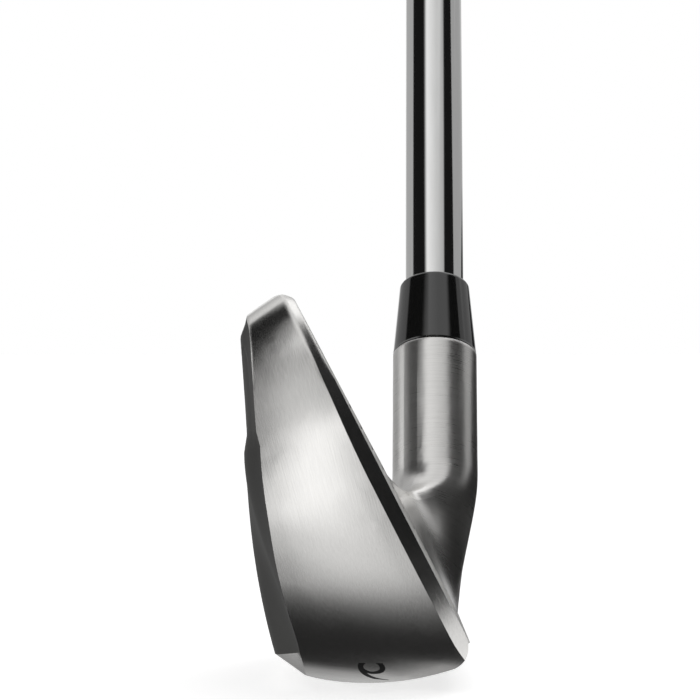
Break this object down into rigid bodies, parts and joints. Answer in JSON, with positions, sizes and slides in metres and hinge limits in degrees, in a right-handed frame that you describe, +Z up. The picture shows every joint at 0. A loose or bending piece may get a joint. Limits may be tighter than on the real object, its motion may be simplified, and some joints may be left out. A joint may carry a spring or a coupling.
{
  "type": "iron golf club",
  "caption": "Right-handed hollow-body iron golf club: lofted steel head with scored face and dark muscle back, black ferrule, stepped chrome shaft and tapered rubber grip.",
  "frame": {"origin": "where the sole touches the ground, club in its address pose", "axes": "+X the way the face looks, -Y the toe, +Y the golfer's side (the shaft leans that way), +Z up"},
  "size_m": [0.0498, 0.5326, 0.8506],
  "materials": {
    "head_steel": "satin brushed",
    "face_steel": "fine blasted",
    "back_dark": "matte dark",
    "tungsten": "sintered",
    "foam": "matte",
    "black_enamel": "gloss",
    "epoxy": "gloss",
    "ferrule_plastic": "gloss",
    "shaft_chrome": "polished",
    "tip_metal": "turned",
    "band_film": "satin film",
    "tape": "paper tape",
    "grip_rubber": "matte",
    "cap_rubber": "matte"
  },
  "bodies": {
    "root": {"head_body": "head_steel", "face_plate": "face_steel", "back_shell": "back_dark", "toe_weight": "tungsten", "damping_core": "foam", "sole_number_fill": "black_enamel", "hosel_epoxy": "epoxy", "ferrule": "ferrule_plastic", "shaft_tube": "shaft_chrome", "tip_weight": "tip_metal", "shaft_band": "band_film", "grip_tape": "tape", "grip_sleeve": "grip_rubber", "grip_cap": "cap_rubber"}
  },
  "joints": []
}
